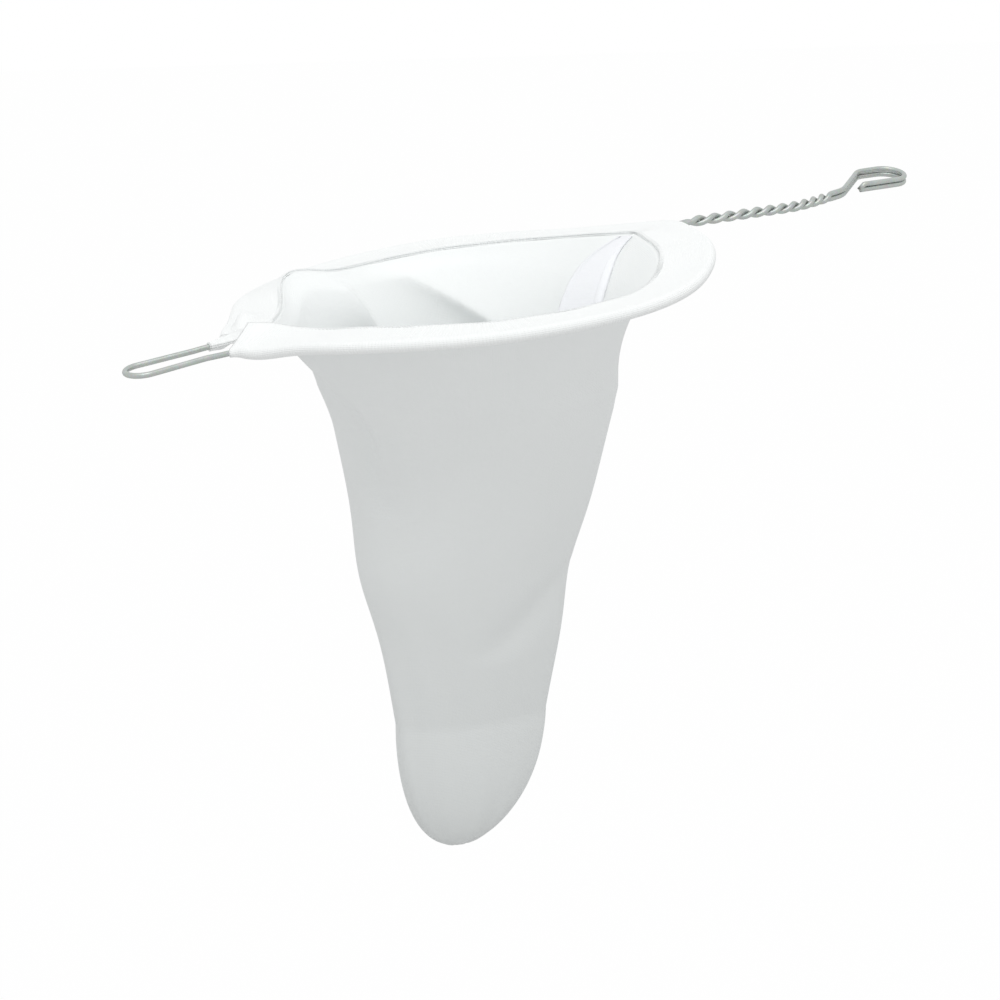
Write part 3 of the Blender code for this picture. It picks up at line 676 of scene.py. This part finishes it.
def bag_grid():
    """The bag's cloth from its lip under the hem to just above the bottom. A point keeps its bearing all the
    way down, and goes from the mouth's outline to the bag's own section as the hold of the rim fades. The
    bag is sewn on as far as the hem's inner edge stays clear of the middle line behind the rest loop."""
    fine = np.linspace(0.0, hem_along[-1], 2000)
    clear = fine[np.abs(on_hem(fine, HEM_WIDTH, 0.0)[:, 1]) > MOUTH_FROM_MIDDLE]
    stops = np.linspace(clear[0], clear[-1], BAG_COLUMNS)
    stand = end_stand(stops) * ease(stops / LIP_STAND_EASE)
    below = HEM_CLOTH / 2 + BAG_CLOTH / 2
    lip = [
        on_hem(stops, reach, -ply_rise(reach) - below, stand)
        for reach in HEM_WIDTH - np.linspace(LIP_WIDTH, 0.0, LIP_ROWS + 1)[:-1]
    ]
    mouth = on_hem(stops, HEM_WIDTH + MOUTH_PAST_HEM, -ply_rise(HEM_WIDTH) - below, stand)
    bearing = np.arctan2(mouth[:, 1], mouth[:, 0])
    share = np.linspace(0.0, 1.0, BAG_ROWS + 1)[:-1, None]
    share = share - BAG_ROWS_CROWDING * np.sin(share * math.tau)
    fall = share * (mouth[:, 2] + BAG_DEPTH)
    z = mouth[:, 2] - fall
    width, thick = bag_section(-z)
    push = fold_push(bearing, -z) * ease(fall / FOLDS_EASE)
    push = push + unevenness(bearing, z) * ease(fall / UNEVENNESS_EASE)
    hold = np.clip(1.0 - fall / MOUTH_FALL, 0.0, 1.0) ** MOUTH_FADING
    x = mouth[:, 0] * hold + (bag_axis(-z) + width * np.cos(bearing)) * (1.0 - hold) - push * np.cos(bearing)
    y = mouth[:, 1] * hold + thick * np.sin(bearing) * (1.0 - hold) - push * np.sin(bearing)
    return np.concatenate([np.array(lip), np.stack([x, y, z], axis=-1)])


bag_points = bag_grid()
down_bag = distance_along(bag_points[:, BAG_COLUMNS // 4])
bag = surface(
    "bag",
    bag_points,
    grid_uv(down_bag, np.linspace(0.0, BAG_ROUND, BAG_COLUMNS + 1))[..., ::-1],
    closed=True,
    ends=((-1, (bag_axis(BAG_DEPTH), 0.0, -BAG_DEPTH)),),
)
thicken(bag, BAG_CLOTH)
bag.data.materials.append(cotton(
    "plain_undyed_cotton",
    UNDYED_COTTON,
    UNDYED_COTTON_SHADE,
    rib=0.5 * MM,
    cross=0.5 * MM,
    depth=0.05 * MM,
    ribs_share=0.5,
    toe=(UNDYED_COTTON_PAINTED_TOE_SHADE, BAG_DEPTH),
))
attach(bag, "root")
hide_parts("filter_bag")


# The seam tape
# A strip of white cotton down the inside of the bag, on the handle's side, where the bag's cloth is joined.
# It comes out narrow from under the rim, widens as it falls and is sewn down along one edge. Its other edge
# is rolled.
TAPE_CLOTH = 0.45 * MM
TAPE_OFF_BAG = 0.05 * MM
TAPE_COLUMNS = 31
TAPE_TOP_BEARING = 2.0
TAPE_BEARING = 10.3
TAPE_SWING = 4.5 * MM
TAPE_WIDTH = 18.0 * MM
TAPE_TOP_WIDTH = 4.5 * MM
TAPE_SPREAD = 8.0 * MM
TAPE_SETTLING = 1.3
# Shares of the tape's width from its middle, where the rolled edge is at -0.5 and the sewn one at 0.5
ROLL_FROM = -0.29
ROLL_TUCK_FROM = -0.46
SEAM_FROM = 0.38
SEAM_STEP = 0.06
ROLL_HEIGHT = 1.4 * MM
ROLL_UNEVENNESS = 0.15
ROLL_UNEVENNESS_LENGTH = 6.0 * MM
ROLL_TUCK = 0.25 * MM
SEAM_HEIGHT = 0.3 * MM
TAPE_COTTON = (0.95, 0.96, 0.985)
TAPE_COTTON_SHADE = (0.94, 0.95, 0.975)

body = bag_points[LIP_ROWS:]
bearings = np.degrees(np.arctan2(body[0][:, 1], body[0][:, 0]))
tape_rows = np.arange(1, np.argmax(body[:, :, 2].mean(axis=1) < -TOE_DEPTH))
across_bag = np.roll(body, -1, axis=1) - np.roll(body, 1, axis=1)
inside = unit(np.cross(across_bag, np.gradient(body, axis=0)))
inside *= -np.sign(np.sum(inside[..., :2] * body[..., :2], axis=-1, keepdims=True))


def settled(fallen, length):
    """Runs from 0 towards 1 as the fall below the rim grows: 1 less e to the power of minus a power of the
    fall over the length."""
    return 1.0 - np.exp(-(np.maximum(fallen, 0.0) / length) ** TAPE_SETTLING)


def tape_row(row):
    """One row of the tape: points of the bag's own row at even steps across, set in by the cloth, by the
    roll at one edge and by the doubled seam at the other."""
    share = np.linspace(-0.5, 0.5, TAPE_COLUMNS)
    fallen = np.interp(TAPE_BEARING, bearings, body[0][:, 2] - body[row][:, 2])
    spread = settled(fallen, TAPE_SPREAD)
    width = TAPE_TOP_WIDTH + (TAPE_WIDTH - TAPE_TOP_WIDTH) * spread
    radius = np.interp(TAPE_BEARING, bearings, np.hypot(body[row][:, 0], body[row][:, 1]))
    middle = TAPE_TOP_BEARING + (TAPE_BEARING - TAPE_TOP_BEARING) * settled(fallen, TAPE_SWING)
    wanted = middle + np.degrees(share * width / radius)
    uneven = 1.0 - ROLL_UNEVENNESS + ROLL_UNEVENNESS * np.sin(fallen / ROLL_UNEVENNESS_LENGTH)
    roll = np.sin(math.pi * np.clip((ROLL_FROM - share) / (0.5 + ROLL_FROM), 0.0, 1.0))
    roll = ROLL_HEIGHT * uneven * spread * roll
    tuck = ROLL_TUCK * ease((ROLL_TUCK_FROM - share) / (0.5 + ROLL_TUCK_FROM))
    seam = SEAM_HEIGHT * ease((share - SEAM_FROM) / SEAM_STEP)
    lift = (BAG_CLOTH + TAPE_CLOTH) / 2 + TAPE_OFF_BAG + roll - tuck + seam
    place = [np.interp(wanted, bearings, body[row][:, k]) for k in range(3)]
    towards = [np.interp(wanted, bearings, inside[row][:, k]) for k in range(3)]
    return np.stack(place, axis=-1) + np.stack(towards, axis=-1) * lift[:, None]


tape_points = np.array([tape_row(row) for row in tape_rows])
down_tape = distance_along(tape_points[:, TAPE_COLUMNS // 2])
across_tape = np.linspace(0.0, TAPE_WIDTH, TAPE_COLUMNS)
tape = surface("seam_tape_cloth", tape_points, grid_uv(down_tape, across_tape))
thicken(tape, TAPE_CLOTH)
tape.data.materials.append(cotton(
    "white_tape_cotton",
    TAPE_COTTON,
    TAPE_COTTON_SHADE,
    rib=0.8 * MM,
    cross=0.5 * MM,
    depth=0.04 * MM,
))
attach(tape, "root")
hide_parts("seam_tape")


# The overlock thread
# White cotton thread that binds the hem's inner edge to the bag all round: a slanting stitch over the edge
# every millimetre or so, which leaves a row of small loops past the edge.
STITCH_PITCH = 1.3 * MM
STITCH_STEPS = 12
STITCH_INSET = 0.4 * MM
STITCH_REACH = 0.75 * MM
STITCH_SLANT = 0.25
STITCH_DIP_FROM = 0.3 * MM
STITCH_DIP_LENGTH = 0.5 * MM
STITCHED_FROM = 14.0 * MM
THREAD_RADIUS = 0.10 * MM
THREAD_SIDES = 5
# How far the thread's middle lies above the hem's cloth and how far it dips past the edge, in thread radii
THREAD_LIFT = 0.3
THREAD_DIP = 1.6
THREAD_COTTON = (0.92, 0.935, 0.93)
THREAD_COTTON_SHADE = (0.88, 0.90, 0.90)

stitched_to = hem_along[-1] - STITCHED_FROM
stitch_count = int((stitched_to - STITCHED_FROM) / STITCH_PITCH)
stitch = np.linspace(STITCHED_FROM, stitched_to, STITCH_STEPS * stitch_count)
turn = (stitch - STITCHED_FROM) / STITCH_PITCH * math.tau
thread_reach = HEM_WIDTH - STITCH_INSET - STITCH_REACH * np.cos(turn)
past_edge = ease((thread_reach - HEM_WIDTH + STITCH_DIP_FROM) / STITCH_DIP_LENGTH)
thread_rise = ply_rise(HEM_WIDTH) + HEM_CLOTH / 2 + THREAD_RADIUS * (THREAD_LIFT - THREAD_DIP * past_edge)
thread_along = stitch + STITCH_SLANT * STITCH_PITCH * np.sin(turn)
thread_line = on_hem(thread_along, thread_reach, thread_rise, end_stand(stitch), True)
thread = surface(
    "overlock_thread",
    tube(thread_line, np.full(len(thread_line), THREAD_RADIUS), THREAD_SIDES),
    grid_uv(distance_along(thread_line), np.linspace(0.0, math.tau * THREAD_RADIUS, THREAD_SIDES + 1)),
    closed=True,
    ends=((0, thread_line[0]), (-1, thread_line[-1])),
)
thread.data.materials.append(cotton(
    "white_thread",
    THREAD_COTTON,
    THREAD_COTTON_SHADE,
    rib=0.3 * MM,
    cross=0.4 * MM,
    depth=0.05 * MM,
))
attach(thread, "root")


# The studio
# A plain pale floor well below the hanging bag, even light from all round and a soft lamp high in front, and
# the camera at the photograph's angle. Floor and sky look white, but shed less light than they show.
FLOOR_HALF_WIDTH = 6.0
FLOOR_LEVEL = -0.30
FLOOR_TONE = (0.68, 0.68, 0.68, 1.0)
FLOOR_GLOW = 0.985
SKY_LEVEL = 0.84
WHITE = (1.0, 1.0, 1.0, 1.0)
LAMP_PLACE = (-0.45, -0.85, 1.75)
LAMP_AIM = (0.0, 0.0, -0.05)
LAMP_WIDTH = 1.1
LAMP_POWER = 12.0
CAMERA_PLACE = (-0.3532, -0.6562, 0.1037)
CAMERA_TILT = math.radians(77.5)
CAMERA_TURN = math.radians(-29.0)
CAMERA_LENS = 95.76
CAMERA_SENSOR = 36.0


def seen_directly(tree):
    """1 where the camera sees the surface, also mirrored or through glass, and 0 for the light it sheds."""
    ray = node(tree, "ShaderNodeLightPath").outputs
    seen = ray["Is Camera Ray"]
    for other in ("Is Glossy Ray", "Is Transmission Ray"):
        seen = node(tree, "ShaderNodeMath", operation="MAXIMUM", inputs={0: seen, 1: ray[other]}).outputs[0]
    return seen


floor_mesh = bpy.data.meshes.new("floor")
floor_corners = [
    (FLOOR_HALF_WIDTH * x, FLOOR_HALF_WIDTH * y, FLOOR_LEVEL)
    for x, y in ((-1, -1), (1, -1), (1, 1), (-1, 1))
]
floor_mesh.from_pydata(floor_corners, [], [(0, 1, 2, 3)])
floor = bpy.data.objects.new("floor", floor_mesh)
bpy.context.scene.collection.objects.link(floor)
floor_paint = bpy.data.materials.new("pale_floor")
floor_paint.use_nodes = True
tree = floor_paint.node_tree
matte = tree.nodes["Principled BSDF"]
matte.inputs["Base Color"].default_value = FLOOR_TONE
matte.inputs["Roughness"].default_value = 1.0
matte.inputs["Specular IOR Level"].default_value = 0.0
glow = node(tree, "ShaderNodeEmission", inputs={"Color": WHITE, "Strength": 1.0})
seen = node(tree, "ShaderNodeMath", operation="MULTIPLY", inputs={0: seen_directly(tree), 1: FLOOR_GLOW})
both = node(tree, "ShaderNodeMixShader", inputs={
    0: seen.outputs[0],
    1: matte.outputs[0],
    2: glow.outputs[0],
})
tree.links.new(both.outputs[0], tree.nodes["Material Output"].inputs["Surface"])
floor.data.materials.append(floor_paint)

world = bpy.data.worlds.new("studio")
bpy.context.scene.world = world
world.use_nodes = True
tree = world.node_tree
level = node(tree, "ShaderNodeMix", data_type="FLOAT", inputs={0: seen_directly(tree), 2: SKY_LEVEL, 3: 1.0})
tree.links.new(level.outputs[0], tree.nodes["Background"].inputs["Strength"])
tree.nodes["Background"].inputs["Color"].default_value = WHITE

lamp_data = bpy.data.lights.new("soft_key", "AREA")
lamp_data.size = LAMP_WIDTH
lamp_data.energy = LAMP_POWER
lamp = bpy.data.objects.new("soft_key", lamp_data)
lamp.location = LAMP_PLACE
aim = unit(np.array(LAMP_AIM) - np.array(LAMP_PLACE))
lamp.rotation_euler = (math.acos(-aim[2]), 0.0, math.atan2(-aim[0], aim[1]))
bpy.context.scene.collection.objects.link(lamp)

camera_data = bpy.data.cameras.new("camera")
camera_data.sensor_width = CAMERA_SENSOR
camera_data.lens = CAMERA_LENS
camera_data.clip_start = 0.01
camera = bpy.data.objects.new("camera", camera_data)
camera.location = CAMERA_PLACE
camera.rotation_euler = (CAMERA_TILT, 0.0, CAMERA_TURN)
bpy.context.scene.collection.objects.link(camera)
bpy.context.scene.camera = camera
bpy.context.scene.view_settings.view_transform = "Standard"
